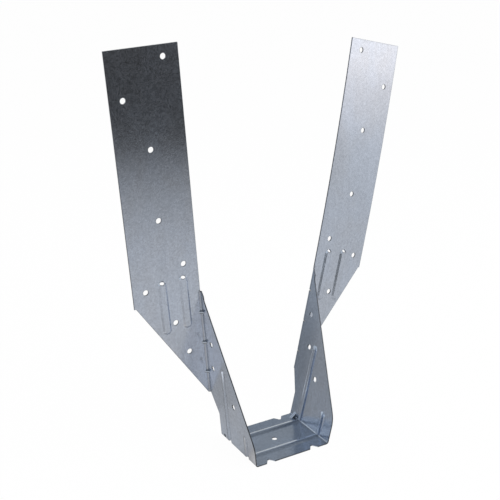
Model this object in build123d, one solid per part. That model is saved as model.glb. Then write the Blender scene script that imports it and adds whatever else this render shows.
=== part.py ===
from build123d import *

import os
from dataclasses import dataclass
from math import asin, atan2, cos, degrees, radians, sin, tan

# Beam hanger folded from one galvanised strip. All sizes are in millimetres.
# Origin: centre of the nail hole in the seat, on the face that the beam sits on.
# +X runs across the beam, +Y towards the supporting timber, +Z up.

# Sheet
sheet = 1.0
bend_radius = 1.5

# Seat
beam_width = 75.0
seat_depth = 63.0
seat_hole_from_back = 31.5

# Side plates, measured along the plate from the lower outside corner
# The fold into the flange is this far back where it passes fold_pivot_height
fold_distance = 75.5
fold_pivot_height = 119.0
fold_top_height = 144.5
back_edge_height = 23.7
front_corner_radius = 25.0
# The sloping front edge ends in a short upright step and a shoulder below the strap
shoulder_width = 4.6
shoulder_drop = 4.5
step_height = 4.2
step_width = 0.4

# Flanges and straps
strap_width = 63.5
strap_top_height = 362.2
strap_lean = 0.65
strap_top_slope = 1.9
flange_corner_height = 146.0
corner_step = 1.5
strap_inset = 0.0

# Nail holes
nail_hole = 5.0
# Distance out from the fold, and depth below the strap's top
strap_holes = [(11.4, 9.1), (49.7, 38.0), (31.0, 81.4), (31.6, 142.9)]
# Distance out from the fold, and height along the arm
flange_holes = [(13.2, 174.8), (51.3, 158.5), (26.6, 121.6), (16.4, 89.2)]
# Distance back from the seat's front edge, and height along the arm, staggered between the sides
left_plate_holes = [(64.5, 94.6), (66.1, 69.6), (32.8, 45.0)]
right_plate_holes = [(64.1, 102.6), (56.5, 72.7), (38.0, 47.3)]

# Beads pressed into the seat and on up both side plates, rounded over
bead_height = 1.25
bead_width = 7.6
front_bead_from_front = 15.8
rear_bead_from_back = 15.7
front_bead_top = 24.5
rear_bead_top = 77.5

# Ribs pressed into each flange, flat on top, each with a slanted nail hole in its upper end
rib_height = 1.5
rib_width = 8.4
rib_flat = 5.0
rib_foot_height = 113.0
rib_top_height = 164.6
rib_distances = [15.3, 35.7]
rib_hole_slant = 50.0
rib_hole_width = 4.6
rib_hole_height = 2.8
rib_hole_drop = 1.7

# V notches in the front and back edges of the seat, each side of the middle
notch_offset = 23.0
notch_width = 8.6
notch_depth = 4.8
notch_tip = 1.6

# Darts pressed into the bends to stiffen them
fold_dart_radius = 1.4
fold_dart_heights = [62.7, 93.2, 123.8]
seat_dart_radius = 2.0
seat_dart_from_back = 7.0
dart_reach = 2.4
dart_wall = 0.8

seat_width = beam_width + 2 * sheet
outer_radius = bend_radius + sheet
# How far a cutting form runs past the sheet
overrun = 5.0


@dataclass
class Arm:
    """One side of the hanger: it leans outward and is folded out into a flange."""

    side: int
    lean: float
    fold_angle: float
    fold_lean: float
    fold_foot_height: float
    front_edge_height: float
    plate_holes: list
    bow_start: float = 0.0
    bow_radius: float = 0.0

    @property
    def seat_bend(self):
        return 90.0 - self.lean

    @property
    def seat_setback(self):
        return outer_radius * tan(radians(self.seat_bend / 2))

    @property
    def fold_setback(self):
        return bend_radius * tan(radians(self.fold_angle / 2))

    @property
    def plate_plane(self):
        """Outer face of the plate: x runs back, y up the plate and z out."""
        lean = radians(self.lean)
        return Plane(
            origin=(seat_width / 2, 0, 0),
            x_dir=(0, 1, 0),
            z_dir=(cos(lean), 0, -sin(lean)),
        )

    @property
    def fold_plane(self):
        """Outer face of the plate again, but y runs up the fold, which leans a little back."""
        plate = self.plate_plane
        turn = radians(self.fold_lean)
        foot = (fold_distance - fold_pivot_height * tan(turn), 0, 0)
        return Plane(
            origin=plate.from_local_coords(foot),
            x_dir=plate.x_dir * cos(turn) - plate.y_dir * sin(turn),
            z_dir=plate.z_dir,
        )

    @property
    def flange_plane(self):
        """Front face of the flange: x runs out from the fold, y up the arm and z forward."""
        fold = self.fold_plane
        turn = radians(self.fold_angle)
        out = fold.x_dir * cos(turn) + fold.z_dir * sin(turn)
        return Plane(origin=fold.origin, x_dir=out, z_dir=out.cross(fold.y_dir))

    def before_fold(self, height, distance):
        """Point of the plate at a distance before the fold, in the plate's own plane."""
        point = self.fold_plane.from_local_coords((-distance, height, 0))
        local = self.plate_plane.to_local_coords(point)
        return (local.X, local.Y)


left_arm = Arm(
    side=-1,
    lean=5.4,
    fold_angle=90.9,
    fold_lean=-1.3,
    fold_foot_height=40.5,
    front_edge_height=18.2,
    plate_holes=left_plate_holes,
)
right_arm = Arm(
    side=1,
    lean=12.8,
    fold_angle=81.7,
    fold_lean=1.65,
    fold_foot_height=44.5,
    front_edge_height=24.0,
    plate_holes=right_plate_holes,
    bow_start=168.0,
    bow_radius=2930.0,
)


def filled(points):
    return make_face(Polyline(*points, close=True))


def seat_plate():
    """Flat floor of the hanger between its two bends, with V notches in both edges."""
    left = -seat_width / 2 + left_arm.seat_setback
    right = seat_width / 2 - right_arm.seat_setback
    floor = filled([(left, 0), (right, 0), (right, seat_depth), (left, seat_depth)])
    notch = filled(
        [
            (-notch_width / 2, -overrun),
            (-notch_width / 2, 0),
            (-notch_tip / 2, notch_depth),
            (notch_tip / 2, notch_depth),
            (notch_width / 2, 0),
            (notch_width / 2, -overrun),
        ]
    )
    for x in (-notch_offset, notch_offset):
        floor -= Pos(x, 0) * notch
        floor -= Pos(x, seat_depth) * Rot(0, 0, 180) * notch
    return extrude(floor, sheet)


def seat_bend(arm):
    """Rounded bend from the seat into a side plate."""
    start = seat_width / 2 - arm.seat_setback
    section = Plane.YZ.offset(start) * filled(
        [(0, 0), (seat_depth, 0), (seat_depth, sheet), (0, sheet)]
    )
    return revolve(section, seat_bend_axis(arm), arm.seat_bend)


def seat_bend_axis(arm):
    return Axis((seat_width / 2 - arm.seat_setback, 0, outer_radius), (0, -1, 0))


def side_plate(arm):
    """Triangular side plate, from the seat bend up to the fold."""
    step = fold_top_height - shoulder_drop
    edge = Polyline(
        (seat_depth, arm.seat_setback),
        (seat_depth, back_edge_height),
        arm.before_fold(arm.fold_foot_height, arm.fold_setback),
        arm.before_fold(fold_top_height, arm.fold_setback),
        arm.before_fold(step, shoulder_width),
        arm.before_fold(step - step_height, shoulder_width + step_width),
        (0, arm.front_edge_height),
        (0, arm.seat_setback),
        close=True,
    )
    corner = edge.vertices().sort_by_distance((0, arm.front_edge_height))[0]
    outline = fillet(make_face(edge).vertices().sort_by_distance(corner)[0], front_corner_radius)
    return extrude(arm.plate_plane * outline, -sheet)


def fold_bend(arm):
    """Rounded bend from a side plate out into its flange."""
    plane = arm.fold_plane
    start = plane.from_local_coords((-arm.fold_setback, 0, 0))
    section = Plane(origin=start, x_dir=plane.z_dir, z_dir=plane.x_dir)
    # In this plane x points out from the plate and y points down the arm
    strip = filled(
        [
            (0, -arm.fold_foot_height),
            (0, -fold_top_height),
            (-sheet, -fold_top_height),
            (-sheet, -arm.fold_foot_height),
        ]
    )
    centre = start + plane.z_dir * bend_radius
    return revolve(section * strip, Axis(centre, -plane.y_dir), arm.fold_angle)


def strap_sheet(arm):
    """Flat sheet of the flange and strap, bowed gently backward above bow_start."""
    plane = arm.flange_plane
    side = Plane(origin=plane.origin, x_dir=plane.y_dir, z_dir=-plane.x_dir)
    # In this plane x runs up the arm, y points back and z inward to the fold
    low = arm.fold_foot_height - overrun
    high = strap_top_height + overrun
    if not arm.bow_radius:
        profile = Rectangle(high - low, sheet, align=(Align.MIN, Align.MIN))
        profile = Pos(low, 0) * profile
    else:
        angle = degrees((high - arm.bow_start) / arm.bow_radius)
        front = JernArc((arm.bow_start, 0), (1, 0), arm.bow_radius, angle)
        back = JernArc((arm.bow_start, sheet), (1, 0), arm.bow_radius - sheet, angle)
        profile = make_face(
            [
                front,
                Line(front @ 1, back @ 1),
                back,
                Line((arm.bow_start, sheet), (low, sheet)),
                Line((low, sheet), (low, 0)),
                Line((low, 0), (arm.bow_start, 0)),
            ]
        )
    section = side.offset(-strap_width - overrun) * profile
    return extrude(section, strap_width + 3 * overrun)


def strap_outline(arm):
    """Outline of the flange and strap, with the slanting lower edge of the flange."""
    rise = strap_top_height - flange_corner_height
    drift = rise * tan(radians(strap_lean))
    tilt = strap_width * tan(radians(strap_top_slope))
    inner_top = (-strap_inset - drift, strap_top_height)
    outer_top = (strap_width - drift, strap_top_height + tilt)
    return filled(
        [
            (arm.fold_setback, arm.fold_foot_height),
            (arm.fold_setback, fold_top_height),
            (-strap_inset, fold_top_height),
            inner_top,
            outer_top,
            (strap_width, flange_corner_height),
            (strap_width - corner_step, flange_corner_height),
        ]
    )


def flange_and_strap(arm):
    window = extrude(arm.flange_plane * strap_outline(arm), 30, both=True)
    return strap_sheet(arm) & window


def strap_surface(arm, out, height):
    """Plane on the strap's front face at a point, following the bow."""
    plane = arm.flange_plane
    if not arm.bow_radius or height <= arm.bow_start:
        return Plane(
            origin=plane.from_local_coords((out, height, 0)),
            x_dir=plane.x_dir,
            z_dir=plane.z_dir,
        )
    turn = (height - arm.bow_start) / arm.bow_radius
    up = arm.bow_start + arm.bow_radius * sin(turn)
    back = arm.bow_radius * (1 - cos(turn))
    return Plane(
        origin=plane.from_local_coords((out, up, -back)),
        x_dir=plane.x_dir,
        z_dir=plane.z_dir * cos(turn) + plane.y_dir * sin(turn),
    )


def bead_section(inner):
    """Half section of a bead: x across from its middle, y up from the sheet's face.

    The outer skin is the metal to add. The inner skin, one sheet below it, is what to cut.
    """
    reach = bead_width / 2
    radius = (reach**2 + bead_height**2) / (2 * bead_height)
    slope = degrees(asin(reach / radius))
    skin = sheet if inner else 0.0
    base = -sheet - overrun if inner else -sheet / 2
    crest = JernArc((0, bead_height - skin), (1, 0), radius - skin, -slope)
    foot = (crest @ 1).X
    edges = [
        crest,
        Line(crest @ 1, (foot, base)),
        Line((foot, base), (0, base)),
        Line((0, base), crest @ 0),
    ]
    return make_face(edges)


def rib_section(inner):
    """Half section of a rib, drawn as the bead's is, but flat on top with sloping sides."""
    slope = atan2(rib_height, (rib_width - rib_flat) / 2)
    skin = sheet if inner else 0.0
    inset = skin * tan(slope / 2)
    base = -sheet - overrun if inner else -sheet / 2
    crest = (rib_flat / 2 - inset, rib_height - skin)
    foot = (rib_width / 2 - inset, -skin)
    return filled([(0, base), (foot[0], base), foot, crest, (0, rib_height - skin)])


def both_halves(half):
    return half + mirror(half, about=Plane.YZ)


def capped_run(half, length):
    """Straight run of a bead or rib along z, with a rounded cap at its far end."""
    cap = revolve(half, Axis((0, 0, 0), (0, -1, 0)), 180)
    return extrude(both_halves(half), length) + Pos(0, 0, length) * cap


def pressed(blank, forms):
    """Sheet with pressed forms: their outer skins added, then their inner skins cut away."""
    blank += forms(inner=False)
    blank -= forms(inner=True)
    return blank


def bead_places():
    """Depth of each bead behind the seat's front edge, and its top on the side plates."""
    rear = seat_depth - rear_bead_from_back
    return [(front_bead_from_front, front_bead_top), (rear, rear_bead_top)]


def beaded_seat():
    """Flat seat with both beads crossing it."""
    left = -seat_width / 2 + left_arm.seat_setback
    right = seat_width / 2 - right_arm.seat_setback

    def beads(inner):
        section = both_halves(bead_section(inner))
        starts = [
            Plane(origin=(left, depth, sheet), x_dir=(0, 1, 0), z_dir=(1, 0, 0))
            for depth, top in bead_places()
        ]
        return [start.location * extrude(section, right - left) for start in starts]

    return pressed(seat_plate(), beads)


def beaded_bend(arm):
    """Bend at the seat's side with both beads running round it."""

    def beads(inner):
        section = both_halves(bead_section(inner))
        edge = seat_width / 2 - arm.seat_setback
        starts = [
            Plane(origin=(edge, depth, sheet), x_dir=(0, 1, 0), z_dir=(1, 0, 0))
            for depth, top in bead_places()
        ]
        return [revolve(start * section, seat_bend_axis(arm), arm.seat_bend) for start in starts]

    return pressed(seat_bend(arm), beads)


def beaded_plate(arm):
    """Side plate with both beads climbing it to their rounded ends."""
    plane = arm.plate_plane

    def beads(inner):
        half = bead_section(inner)
        runs = []
        for depth, top in bead_places():
            foot = plane.from_local_coords((depth, arm.seat_setback, -sheet))
            start = Plane(origin=foot, x_dir=plane.x_dir, z_dir=plane.y_dir)
            length = top - bead_width / 2 - arm.seat_setback
            runs.append(start.location * capped_run(half, length))
        return runs

    return pressed(side_plate(arm), beads)


def ribbed_flange(arm):
    """Flange and strap with the ribs on its front, rounded at both ends."""
    plane = arm.flange_plane
    middle = (rib_top_height + rib_foot_height) / 2
    length = (rib_top_height - rib_foot_height - rib_width) / 2

    def ribs(inner):
        half = rib_section(inner)
        runs = []
        for out in rib_distances:
            centre = plane.from_local_coords((out, middle, 0))
            upper = Plane(origin=centre, x_dir=-plane.x_dir, z_dir=plane.y_dir)
            lower = Plane(origin=centre, x_dir=plane.x_dir, z_dir=-plane.y_dir)
            runs += [end.location * capped_run(half, length) for end in (upper, lower)]
        return runs

    return pressed(flange_and_strap(arm), ribs)


def dart(corner, along, inward, angle, radius, inner):
    """Dart across a bend. It stands inward of the bend's outside corner, across its axis."""
    half = radians(angle / 2)
    tangent_depth = outer_radius * tan(half) * sin(half)
    start = -overrun if inner else tangent_depth + 0.03
    size = radius - dart_wall if inner else radius
    section = Plane(origin=corner, x_dir=along, z_dir=along.cross(inward))
    # In this plane x runs along the bend and y inward
    bar = filled([(-size, start), (size, start), (size, dart_reach), (-size, dart_reach)])
    shape = bar + Pos(0, dart_reach) * Circle(size)
    return extrude(section * shape, overrun * 2, both=True)


def seat_dart(arm, inner):
    plane = arm.plate_plane
    corner = Vector(seat_width / 2, seat_depth - seat_dart_from_back, 0)
    inward = (plane.y_dir + Vector(-1, 0, 0)).normalized()
    form = dart(corner, Vector(0, 1, 0), inward, arm.seat_bend, seat_dart_radius, inner)
    if inner:
        return form
    form = split(form, bisect_by=Plane.XY.offset(sheet / 2), keep=Keep.TOP)
    return split(form, bisect_by=plane.offset(-sheet / 2), keep=Keep.BOTTOM)


def fold_dart(arm, height, inner):
    plane = arm.fold_plane
    flange = arm.flange_plane
    back_set = sheet * tan(radians(arm.fold_angle / 2))
    corner = plane.from_local_coords((back_set, height, -sheet))
    inward = (flange.x_dir - plane.x_dir).normalized()
    form = dart(corner, plane.y_dir, inward, arm.fold_angle, fold_dart_radius, inner)
    if inner:
        return form
    form = split(form, bisect_by=plane.offset(-sheet / 2), keep=Keep.TOP)
    return split(form, bisect_by=flange.offset(-sheet / 2), keep=Keep.TOP)


def arm_holes(arm):
    """Nail holes through the flange, the ribs' upper ends and the side plate."""
    drill = Cylinder(nail_hole / 2, overrun)
    points = [(out, strap_top_height - depth) for out, depth in strap_holes] + flange_holes
    holes = [strap_surface(arm, *point).location * drill for point in points]
    slanted = extrude(Ellipse(rib_hole_width / 2, rib_hole_height / 2), overrun, both=True)
    for out in rib_distances:
        spot = strap_surface(arm, out, rib_top_height - rib_hole_drop)
        middle = spot.location * Pos(0, 0, rib_height / 2)
        holes.append(middle * Rot(-rib_hole_slant, 0, 0) * slanted)
    for point in arm.plate_holes:
        holes.append(arm.plate_plane.location * Pos(*point, -sheet / 2) * drill)
    return holes


def build_arm(arm):
    """One whole arm on the right-hand side, before mirroring."""

    def darts(inner):
        forms = [fold_dart(arm, height, inner) for height in fold_dart_heights]
        return [*forms, seat_dart(arm, inner)]

    blank = beaded_bend(arm) + beaded_plate(arm) + fold_bend(arm) + ribbed_flange(arm)
    arm_sheet = pressed(blank, darts) - arm_holes(arm)
    return arm_sheet if arm.side > 0 else mirror(arm_sheet, about=Plane.YZ)


def build_seat():
    hole_depth = seat_depth - seat_hole_from_back
    return beaded_seat() - Pos(0, hole_depth, sheet / 2) * Cylinder(nail_hole / 2, overrun)


def build_hanger():
    hanger = build_seat() + build_arm(left_arm) + build_arm(right_arm)
    return Pos(0, seat_hole_from_back - seat_depth, -sheet) * hanger


os.makedirs("parts", exist_ok=True)
hanger = build_hanger()
hanger.label = "beam_hanger"
export_step(hanger, "parts/beam_hanger.step")
print("solids", len(hanger.solids()), "volume", round(hanger.volume), "box", hanger.bounding_box())
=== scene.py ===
import math

import bmesh
import bpy
from mathutils import Matrix, Vector


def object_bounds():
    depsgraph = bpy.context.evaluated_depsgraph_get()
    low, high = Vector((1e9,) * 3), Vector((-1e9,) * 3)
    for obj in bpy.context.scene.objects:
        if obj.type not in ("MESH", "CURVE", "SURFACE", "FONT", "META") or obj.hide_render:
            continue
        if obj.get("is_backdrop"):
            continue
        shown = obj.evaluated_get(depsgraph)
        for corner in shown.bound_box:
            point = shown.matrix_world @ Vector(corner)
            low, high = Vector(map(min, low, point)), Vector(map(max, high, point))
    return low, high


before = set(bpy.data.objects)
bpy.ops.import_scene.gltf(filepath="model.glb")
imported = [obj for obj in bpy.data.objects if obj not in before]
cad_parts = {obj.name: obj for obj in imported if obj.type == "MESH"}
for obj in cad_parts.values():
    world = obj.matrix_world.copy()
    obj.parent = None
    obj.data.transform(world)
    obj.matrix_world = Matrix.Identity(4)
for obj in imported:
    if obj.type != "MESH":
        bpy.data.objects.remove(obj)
low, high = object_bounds()

NODE = "beam_hanger"

# The sheet in the part's frame, in metres. The plates lean out, left by 5.4 degrees and right by 12.8
SEAT_HALF_WIDTH = 0.0375
MEAN_LEAN = 0.1609
LEAN_DIFFERENCE = 0.0664
LEFT_FOLD = ((-0.04131, 0.04578, 0.04032), (-0.05110, 0.04342, 0.14386))
RIGHT_FOLD = ((0.04736, 0.04185, 0.04339), (0.06951, 0.04474, 0.14091))

# Where one zone of the sheet fades into the next, in metres
PLATE_FACE = (0.0022, 0.0030)
PLATE_TOP = (0.1415, 0.1425)
SEAT_FACE = (0.003, 0.005)
BEND_EDGE = (0.0022, 0.0034)
DART_REACH = (0.0075, 0.0085)
FOLD_TOP = (0.142, 0.145)
PLATE_DEPTH = (0.002, 0.034)
SEAT_DEPTH = (0.004, 0.026)

# Fades in the components of a face's direction: painted shade on inner faces, backs and darts, and
# sheared edges
INWARD = (-0.2, -0.6)
UPWARD = (0.6, 0.85)
BACKWARD = (0.2, 0.6)
DART_TILT = (0.22, 0.40)
BODY_CUT = (0.72, 0.86)
FLANGE_CUT = (0.50, 0.35)

# How much of the full painted shade the weaker places get
PLATE_FRONT_SHARE = 0.46
SEAT_FRONT_SHARE = 0.68
FLANGE_BACK_SHARE = 0.7
SEAT_BEND_SHARE = 0.4

WHITE = (1.0, 1.0, 1.0, 1.0)
ZINC_TINTS = ((0.660, 0.712, 0.806, 1.0), (0.650, 0.716, 0.832, 1.0))
INNER_SHADE_TINT = (0.553, 0.595, 0.645, 1.0)
TABLE_COLOUR = (0.88, 0.88, 0.89, 1.0)
TABLE_WHITENESS = 0.97
ROOM_LIGHT = 0.72

TABLE_REACH = 12.0
NET_REACH = 11.0
NET_RADIUS = 10.0
FLOOR_NET_HEIGHT = 0.0005
WALL_NET_HEIGHT = 0.002

# The camera was fitted to the photograph together with the shape
PHOTO_WIDTH = 500
FOCAL_PIXELS = 870.13
SENSOR_WIDTH = 36.0
CAMERA_AZIMUTH = 30.3756
CAMERA_ELEVATION = 19.2551
CAMERA_PLACE = (-0.37561, -0.59590, 0.43097)

# Levels at the start and at the end of a fade
RISE = (0.0, 1.0)
FALL = (1.0, 0.0)


class Nodes:
    """Fills an emptied tree with nodes. A value can be a number, a colour or another node's socket."""

    def __init__(self, tree):
        self.tree = tree
        tree.nodes.clear()

    def add(self, kind, **props):
        node = self.tree.nodes.new(kind)
        for key, value in props.items():
            setattr(node, key, value)
        return node

    def put(self, value, socket):
        if isinstance(value, bpy.types.NodeSocket):
            self.tree.links.new(value, socket)
        else:
            socket.default_value = value

    def math(self, operation, a, b=None, clamp=False):
        node = self.add("ShaderNodeMath", operation=operation, use_clamp=clamp)
        self.put(a, node.inputs[0])
        if b is not None:
            self.put(b, node.inputs[1])
        return node.outputs[0]

    def vector(self, operation, a, b=None, result="Vector"):
        node = self.add("ShaderNodeVectorMath", operation=operation)
        self.put(a, node.inputs[0])
        if b is not None:
            self.put(b, node.inputs[1])
        return node.outputs[result]

    def split(self, vector):
        node = self.add("ShaderNodeSeparateXYZ")
        self.put(vector, node.inputs[0])
        return node.outputs

    def combine(self, kind, values):
        node = self.add(kind)
        for value, socket in zip(values, node.inputs):
            self.put(value, socket)
        return node.outputs[0]

    def ramp(self, factor, across, levels=RISE):
        """Smooth step from the first level to the second while the factor goes across its range."""
        node = self.add("ShaderNodeMapRange", interpolation_type="SMOOTHSTEP")
        self.put(factor, node.inputs["Value"])
        self.put(across[0], node.inputs["From Min"])
        self.put(across[1], node.inputs["From Max"])
        self.put(levels[0], node.inputs["To Min"])
        self.put(levels[1], node.inputs["To Max"])
        return node.outputs["Result"]

    def noise(self, vector, scale, detail, roughness, distortion=0.0):
        node = self.add("ShaderNodeTexNoise")
        self.put(vector, node.inputs["Vector"])
        self.put(scale, node.inputs["Scale"])
        self.put(detail, node.inputs["Detail"])
        self.put(roughness, node.inputs["Roughness"])
        self.put(distortion, node.inputs["Distortion"])
        return node.outputs["Fac"]

    def total(self, start, parts):
        """The start plus each part, less its middle value, times its weight."""
        for source, middle, weight in parts:
            if middle:
                source = self.math("SUBTRACT", source, middle)
            start = self.math("ADD", start, self.math("MULTIPLY", source, weight))
        return start

    def less(self, value, mask, share):
        """The value with that share of it taken off where the mask is one."""
        kept = self.math("SUBTRACT", 1.0, self.math("MULTIPLY", mask, share))
        return self.math("MULTIPLY", value, kept)

    def mix(self, factor, a, b, blend="MIX"):
        node = self.add("ShaderNodeMix", data_type="RGBA", blend_type=blend)
        self.put(factor, node.inputs[0])
        self.put(a, node.inputs[6])
        self.put(b, node.inputs[7])
        return node.outputs[2]

    def mix_shaders(self, factor, first, second):
        node = self.add("ShaderNodeMixShader")
        self.put(factor, node.inputs[0])
        self.put(first.outputs[0], node.inputs[1])
        self.put(second.outputs[0], node.inputs[2])
        return node.outputs[0]

    def output(self, surface, kind="ShaderNodeOutputMaterial"):
        self.put(surface, self.add(kind).inputs["Surface"])


def new_material(name):
    material = bpy.data.materials.new(name)
    material.use_nodes = True
    return material, Nodes(material.node_tree)


def new_object(name, data):
    obj = bpy.data.objects.new(name, data)
    bpy.context.collection.objects.link(obj)
    return obj


def sheet_zones(n, coords, normal):
    """Masks of painted shade on the sheet's inner face, in its bends and on the darts in its folds, and
    of its sheared edges.
    """
    x, y, z = n.split(coords)
    facing_x, facing_y, facing_z = n.split(normal)
    side = n.math("SIGN", x)
    facing_depth = n.math("ABSOLUTE", facing_y)

    past_seat = n.math("SUBTRACT", n.math("ABSOLUTE", x), SEAT_HALF_WIDTH)
    lean = n.math("ADD", MEAN_LEAN, n.math("MULTIPLY", side, LEAN_DIFFERENCE))
    outside = n.math("SUBTRACT", past_seat, n.math("MULTIPLY", lean, z))
    flange = n.math("MAXIMUM", n.ramp(outside, PLATE_FACE), n.ramp(z, PLATE_TOP))
    body = n.math("SUBTRACT", 1.0, flange)

    # Painted shade: the inner faces are darkest towards the folds at the back, and the backs of the
    # flanges are darkened too
    plate_shade = n.ramp(n.math("MULTIPLY", facing_x, side), INWARD)
    plate_shade = n.math("MULTIPLY", plate_shade, n.ramp(y, PLATE_DEPTH, (PLATE_FRONT_SHARE, 1.0)))
    seat_shade = n.math("MULTIPLY", n.ramp(facing_z, UPWARD), n.ramp(z, SEAT_FACE, FALL))
    seat_shade = n.math("MULTIPLY", seat_shade, n.ramp(y, SEAT_DEPTH, (SEAT_FRONT_SHARE, 1.0)))
    back = n.math("MULTIPLY", n.ramp(facing_y, BACKWARD), flange)
    painted_inner_shade = n.math("MULTIPLY", n.math("MAXIMUM", plate_shade, seat_shade), body)
    painted_inner_shade = n.math("MAXIMUM", painted_inner_shade, n.math("MULTIPLY", back, FLANGE_BACK_SHARE))

    def near_line(start, end):
        direction = (Vector(end) - Vector(start)).normalized()
        offset = n.vector("CROSS_PRODUCT", n.vector("SUBTRACT", coords, start), direction)
        distance = n.vector("LENGTH", offset, result="Value")
        return n.ramp(distance, BEND_EDGE, FALL), n.ramp(distance, DART_REACH, FALL)

    left_bend, left_darts = near_line(*LEFT_FOLD)
    right_bend, right_darts = near_line(*RIGHT_FOLD)
    below_strap = n.ramp(z, FOLD_TOP, FALL)
    folds = n.math("MULTIPLY", n.math("MAXIMUM", left_bend, right_bend), below_strap)
    around_folds = n.math("MULTIPLY", n.math("MAXIMUM", left_darts, right_darts), below_strap)
    # Painted shade on the tilted faces of the darts near the folds
    painted_dart_shade = n.math("MULTIPLY", around_folds, n.ramp(n.math("ABSOLUTE", facing_z), DART_TILT))
    # Painted shade along the folds and, weaker, along the seat's bends
    corner = n.combine("ShaderNodeCombineXYZ", (past_seat, 0.0, z))
    painted_seat_bend_shade = n.ramp(n.vector("LENGTH", corner, result="Value"), BEND_EDGE, (SEAT_BEND_SHARE, 0.0))
    painted_bend_shade = n.math("MAXIMUM", folds, painted_seat_bend_shade)

    body_cut = n.less(n.math("MULTIPLY", n.ramp(facing_depth, BODY_CUT), body), folds, 1.0)
    flange_cut = n.math("MULTIPLY", n.ramp(facing_depth, FLANGE_CUT), flange)
    return painted_inner_shade, n.math("MAXIMUM", body_cut, flange_cut), painted_bend_shade, painted_dart_shade


def galvanised_steel():
    """Bluish grey zinc coat with grain, spangle, clouding, smudges, scratches and dark cut edges, and
    painted shade on inner faces, bends, darts, hole rims and the feet of pressed forms.
    """
    material, n = new_material("galvanised_steel")
    texture = n.add("ShaderNodeTexCoord")
    coords = texture.outputs["Object"]
    painted_inner_shade, cut, painted_bend_shade, painted_dart_shade = sheet_zones(n, coords, texture.outputs["Normal"])

    def stretched(x, y, z):
        mapping = n.add("ShaderNodeMapping")
        n.put((x, y, z), mapping.inputs["Scale"])
        n.put(coords, mapping.inputs["Vector"])
        return mapping.outputs["Vector"]

    # Rolling grain and streaks run up the strip
    grain = n.noise(stretched(1.0, 1.0, 0.40), scale=1050, detail=3.0, roughness=0.6)
    streaks = n.noise(stretched(1.0, 1.0, 0.03), scale=420, detail=2.0, roughness=0.5)
    # Spangle: small flat crystals of slightly different tone
    spangle = n.add("ShaderNodeTexVoronoi", feature="F1", distance="EUCLIDEAN")
    n.put(760, spangle.inputs["Scale"])
    n.put(coords, spangle.inputs["Vector"])
    crystal = n.add("ShaderNodeSeparateColor")
    n.put(spangle.outputs["Color"], crystal.inputs[0])
    tone = crystal.outputs[0]
    # Clouding of the zinc, a few centimetres across, with smudges and fine scratches
    cloud = n.noise(stretched(1.0, 1.0, 0.7), scale=26, detail=4.0, roughness=0.6, distortion=0.4)
    smear = n.noise(coords, scale=60, detail=5.0, roughness=0.65, distortion=1.2)
    smudge = n.ramp(smear, (0.60, 0.78))
    wave = n.noise(stretched(6.0, 6.0, 0.25), scale=90, detail=1.0, roughness=0.5)
    scratch = n.ramp(wave, (0.715, 0.745))

    # Painted shade at hole rims and the feet of the pressed forms: places where a wide bevel turns the
    # surface
    rim = n.add("ShaderNodeBevel", samples=8)
    n.put(0.0014, rim.inputs["Radius"])
    flat = n.add("ShaderNodeNewGeometry").outputs["Normal"]
    turned = n.vector("DOT_PRODUCT", rim.outputs[0], flat, result="Value")
    edge = n.ramp(turned, (0.72, 0.985), FALL)

    # Each feature with its middle value and its weight in the brightness
    features = (
        (grain, 0.0, 0.33),
        (tone, 0.5, 0.15),
        (streaks, 0.5, 0.10),
        (cloud, 0.5, 0.24),
        (smudge, 0.0, -0.07),
        (scratch, 0.0, 0.06),
    )
    value = n.total(0.785, features)
    # Painted shade at hole rims, feet of pressed forms, bends and darts; the sheared edges are dark in
    # their own colour
    for mask, share in ((edge, 0.65), (cut, 0.75), (painted_bend_shade, 0.24), (painted_dart_shade, 0.55)):
        value = n.less(value, mask, share)
    tint = n.mix(n.ramp(cloud, (0.35, 0.65)), *ZINC_TINTS)
    shade = n.combine("ShaderNodeCombineColor", (value, value, value))
    colour = n.mix(1.0, tint, shade, "MULTIPLY")
    # Painted shade: the inner face of the sheet is darker and bluer
    colour = n.mix(1.0, colour, n.mix(painted_inner_shade, WHITE, INNER_SHADE_TINT), "MULTIPLY")

    worn = n.math("MAXIMUM", cut, painted_bend_shade)
    features = ((grain, 0.0, 0.09), (worn, 0.0, 0.16), (smudge, 0.0, 0.09), (cloud, 0.5, 0.08))
    roughness = n.total(0.13, features)
    metallic = n.math("SUBTRACT", 1.0, n.math("MULTIPLY", n.math("ADD", tone, grain), 0.028))

    features = ((tone, 0.0, 0.25), (streaks, 0.0, 0.35), (scratch, 0.0, -0.4))
    height = n.total(n.math("MULTIPLY", grain, 0.6), features)
    rounding = n.add("ShaderNodeBevel", samples=6)
    n.put(0.0004, rounding.inputs["Radius"])
    bump = n.add("ShaderNodeBump")
    n.put(0.12, bump.inputs["Strength"])
    n.put(0.00012, bump.inputs["Distance"])
    n.put(height, bump.inputs["Height"])
    n.put(rounding.outputs[0], bump.inputs["Normal"])

    shader = n.add("ShaderNodeBsdfPrincipled")
    n.put(metallic, shader.inputs["Metallic"])
    n.put(colour, shader.inputs["Base Color"])
    n.put(roughness, shader.inputs["Roughness"])
    n.put(bump.outputs[0], shader.inputs["Normal"])
    n.output(shader.outputs[0])
    return material


def background_rays(n):
    """One for rays that should meet the plain white background, else zero."""
    path = n.add("ShaderNodeLightPath")
    seen = n.math("ADD", path.outputs["Is Camera Ray"], path.outputs["Is Glossy Ray"])
    return n.math("ADD", seen, path.outputs["Is Transmission Ray"], clamp=True)


def room():
    """Plain white surroundings."""
    world = bpy.data.worlds.new("room")
    bpy.context.scene.world = world
    world.use_nodes = True
    n = Nodes(world.node_tree)
    layers = []
    for strength in (ROOM_LIGHT, 1.0):
        layer = n.add("ShaderNodeBackground")
        n.put(WHITE, layer.inputs["Color"])
        n.put(strength, layer.inputs["Strength"])
        layers.append(layer)
    n.output(n.mix_shaders(background_rays(n), *layers), "ShaderNodeOutputWorld")


def square(name, reach, height):
    mesh = bpy.data.meshes.new(name)
    corners = [(x * reach, y * reach, height) for x, y in ((-1, -1), (1, -1), (1, 1), (-1, 1))]
    mesh.from_pydata(corners, [], [(0, 1, 2, 3)])
    return mesh


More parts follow.
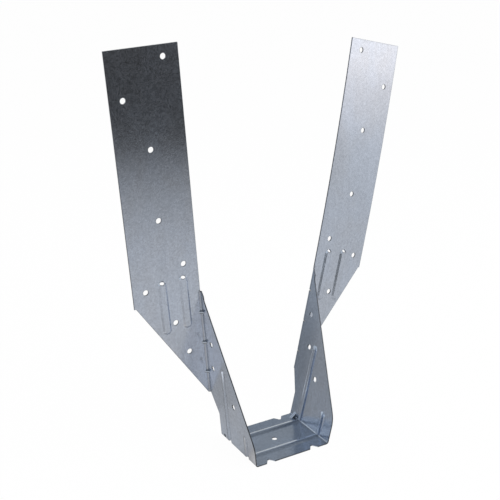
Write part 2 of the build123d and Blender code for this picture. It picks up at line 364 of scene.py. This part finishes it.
def table():
    """White table top that keeps a faint shadow."""
    material, n = new_material("white_table")
    plain = n.add("ShaderNodeBsdfDiffuse")
    n.put(TABLE_COLOUR, plain.inputs["Color"])
    white = n.add("ShaderNodeEmission")
    n.put(1.0, white.inputs["Strength"])
    share = n.math("MULTIPLY", background_rays(n), TABLE_WHITENESS)
    n.output(n.mix_shaders(share, plain, white))
    mesh = square("table", TABLE_REACH, low[2])
    mesh.materials.append(material)
    new_object("table", mesh)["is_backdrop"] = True


def scrim(name, mesh, levels_of):
    """Net that only dims or tints what the metal reflects, as a studio's nets and flags do."""
    material, n = new_material(name)
    position = n.add("ShaderNodeNewGeometry").outputs["Position"]
    net = n.add("ShaderNodeBsdfTransparent")
    n.put(n.combine("ShaderNodeCombineColor", levels_of(n, position)), net.inputs["Color"])
    n.output(net.outputs[0])
    mesh.materials.append(material)
    obj = new_object(name, mesh)
    obj.visible_camera = False
    obj.visible_diffuse = False
    obj.visible_shadow = False
    obj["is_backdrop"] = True


def floor_levels(n, position):
    """Red, green and blue that the floor's net lets through. Distances are in metres from the hanger."""
    x, y, _ = n.split(position)

    def along(azimuth):
        a = math.radians(azimuth)
        return n.math("ADD", n.math("MULTIPLY", x, math.sin(a)), n.math("MULTIPLY", y, math.cos(a)))

    def patch(centre, edge, level, around=0.0):
        distance = n.vector("DISTANCE", position, (*centre, 0.0), result="Value")
        return n.ramp(distance, edge, (level, around))

    # Half clear near the hanger, clear far on the right and almost closed far in front
    right = n.ramp(along(118), (0.8, 3.2), (0.60, 1.0))
    front = along(160)
    bearing = n.math("DIVIDE", along(70), n.math("MAXIMUM", front, 0.05))
    beside = n.ramp(bearing, (0.25, 0.62), FALL)
    slow = n.less(1.0, n.ramp(front, (0.22, 0.98), (0.0, 0.62)), beside)
    fast = n.less(1.0, n.ramp(front, (0.84, 0.99), (0.0, 0.82)), beside)
    behind = patch((-0.16, 0.32), (0.28, 0.55), 0.675, around=1.0)
    net = n.math("MULTIPLY", n.math("MULTIPLY", right, n.math("MULTIPLY", slow, fast)), behind)
    # Open floor behind on the right and close on the left lights the sides of the beads
    open_right = n.math("MULTIPLY", n.ramp(x, (0.0, 0.03)), n.ramp(y, (0.06, 0.10)))
    open_left = patch((-0.19, 0.06), (0.055, 0.08), 1.0)
    under_left = patch((-0.06, 0.03), (0.03, 0.08), 0.48)
    for opening in (open_right, open_left, under_left):
        net = n.math("MAXIMUM", net, opening)
    # Warm card on the floor, close on the front left, for the inside of the left fold
    card = patch((-0.11, -0.10), (0.09, 0.14), 0.74)
    warmth = n.ramp(along(118), (1.2, 3.2))
    levels = []
    for far_loss, card_share in ((0.0, 1.0), (0.05, 0.95), (0.08, 0.89)):
        level = n.less(net, warmth, far_loss)
        levels.append(n.math("MAXIMUM", level, n.math("MULTIPLY", card, card_share)))
    return levels


def wall_levels(n, position):
    """Red, green and blue that the net round the upper room lets through. Angles are in degrees."""
    unit = n.vector("NORMALIZE", position)

    def cap(azimuth, elevation, edge, level, around=1.0):
        a, e = math.radians(azimuth), math.radians(elevation)
        middle = (math.sin(a) * math.cos(e), math.cos(a) * math.cos(e), math.sin(e))
        closeness = n.vector("DOT_PRODUCT", unit, middle, result="Value")
        return n.ramp(closeness, [math.cos(math.radians(angle)) for angle in edge], (around, level))

    back = cap(30, 64, (44, 31), 0.455)
    top = cap(0, 90, (55, 25), 0.80)
    front = cap(170, 0, (40, 24), 0.08)
    net = n.math("MULTIPLY", n.math("MULTIPLY", back, top), front)
    # For each colour: the net's own share, the right side's, and that of a warm gap low at the back,
    # which the tops of the seat's beads mirror
    levels = []
    for own, right, gap in ((0.76, 1.0, 1.0), (0.80, 0.95, 0.96), (0.83, 0.92, 0.88)):
        level = n.math("MULTIPLY", n.math("MULTIPLY", net, own), cap(122, 5, (45, 25), right))
        levels.append(n.math("MAXIMUM", level, cap(28, 6, (21, 11), gap, around=0.0)))
    return levels


def dome(name, radius, floor):
    """The part of a sphere that stands above the floor."""
    mesh = bpy.data.meshes.new(name)
    shell = bmesh.new()
    bmesh.ops.create_uvsphere(shell, u_segments=48, v_segments=24, radius=radius)
    bmesh.ops.bisect_plane(
        shell,
        geom=[*shell.verts, *shell.edges, *shell.faces],
        plane_co=(0, 0, floor),
        plane_no=(0, 0, 1),
        clear_inner=True,
    )
    shell.to_mesh(mesh)
    shell.free()
    return mesh


def area_light(name, place, target, spread, energy, colour, reflected):
    data = bpy.data.lights.new(name, "AREA")
    data.shape = "RECTANGLE"
    data.size, data.size_y = spread
    data.energy = energy
    data.color = colour
    obj = new_object(name, data)
    obj.location = place
    obj.rotation_euler = (Vector(target) - Vector(place)).to_track_quat("-Z", "Y").to_euler()
    obj.visible_glossy = reflected
    obj.visible_camera = False


def camera():
    data = bpy.data.cameras.new("camera")
    data.sensor_width = SENSOR_WIDTH
    data.lens = FOCAL_PIXELS / PHOTO_WIDTH * SENSOR_WIDTH
    data.clip_start = 0.01
    a, e = math.radians(CAMERA_AZIMUTH), math.radians(CAMERA_ELEVATION)
    back = Vector((-math.sin(a) * math.cos(e), -math.cos(a) * math.cos(e), math.sin(e)))
    right = Vector((math.cos(a), -math.sin(a), 0.0))
    turn = Matrix((right, back.cross(right), back)).transposed().to_4x4()
    obj = new_object("camera", data)
    obj.matrix_world = Matrix.Translation(CAMERA_PLACE) @ turn
    bpy.context.scene.camera = obj


steel = galvanised_steel()
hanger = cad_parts[NODE]
for slot in hanger.material_slots:
    slot.material = steel

room()
table()
scrim("floor_net", square("floor_net", NET_REACH, low[2] + FLOOR_NET_HEIGHT), floor_levels)
scrim("wall_net", dome("wall_net", NET_RADIUS, low[2] + WALL_NET_HEIGHT), wall_levels)
area_light(
    "soft_top",
    place=(0.3, -0.4, 1.6),
    target=(0, 0, 0.1),
    spread=(1.2, 1.2),
    energy=12.0,
    colour=(1, 1, 1),
    reflected=False,
)
area_light(
    "softbox",
    place=(2.22, -1.18, 0.80),
    target=(0, 0, 0.80),
    spread=(1.5, 1.25),
    energy=3.0,
    colour=(1.0, 0.88, 0.77),
    reflected=True,
)
camera()
bpy.context.scene.view_settings.view_transform = "Standard"

low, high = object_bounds()
